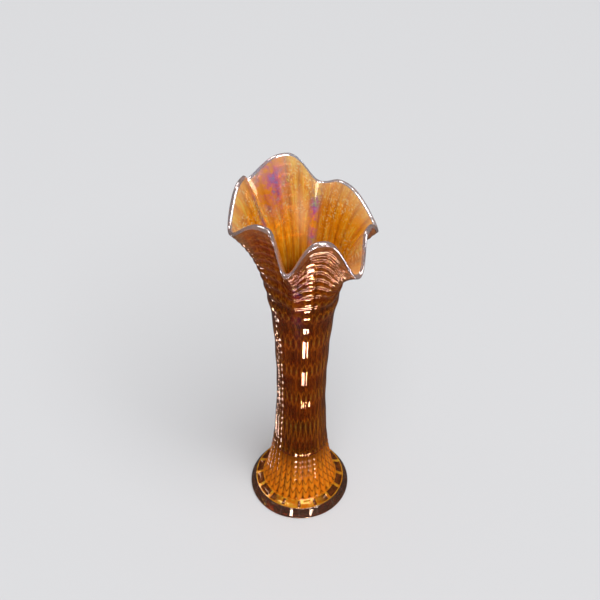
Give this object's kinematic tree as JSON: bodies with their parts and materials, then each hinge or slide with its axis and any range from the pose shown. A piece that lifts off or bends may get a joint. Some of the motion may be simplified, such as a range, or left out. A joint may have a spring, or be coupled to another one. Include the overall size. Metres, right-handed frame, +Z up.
{
  "type": "glass vase",
  "caption": "Tall footed glass vase with a slender ribbed column that flares into a deeply ruffled, upright mouth; amber glass with an iridescent lustre.",
  "frame": {"origin": "centre of the flat underside of the foot", "axes": "+Z up along the vase, +X to the right and +Y to the back when the low, open valley of the mouth faces the viewer"},
  "size_m": [0.0964, 0.0991, 0.2896],
  "materials": {
    "foot_glass": "clear pressed glass with a thin orange lustre on top and a clear edge band",
    "body_glass": "clear pressed glass with a fired marigold iridescent lustre, paler towards the lip"
  },
  "bodies": {
    "root": {"foot": "foot_glass", "skirt": "body_glass", "column": "body_glass", "ruffled_mouth": "body_glass"}
  },
  "joints": []
}
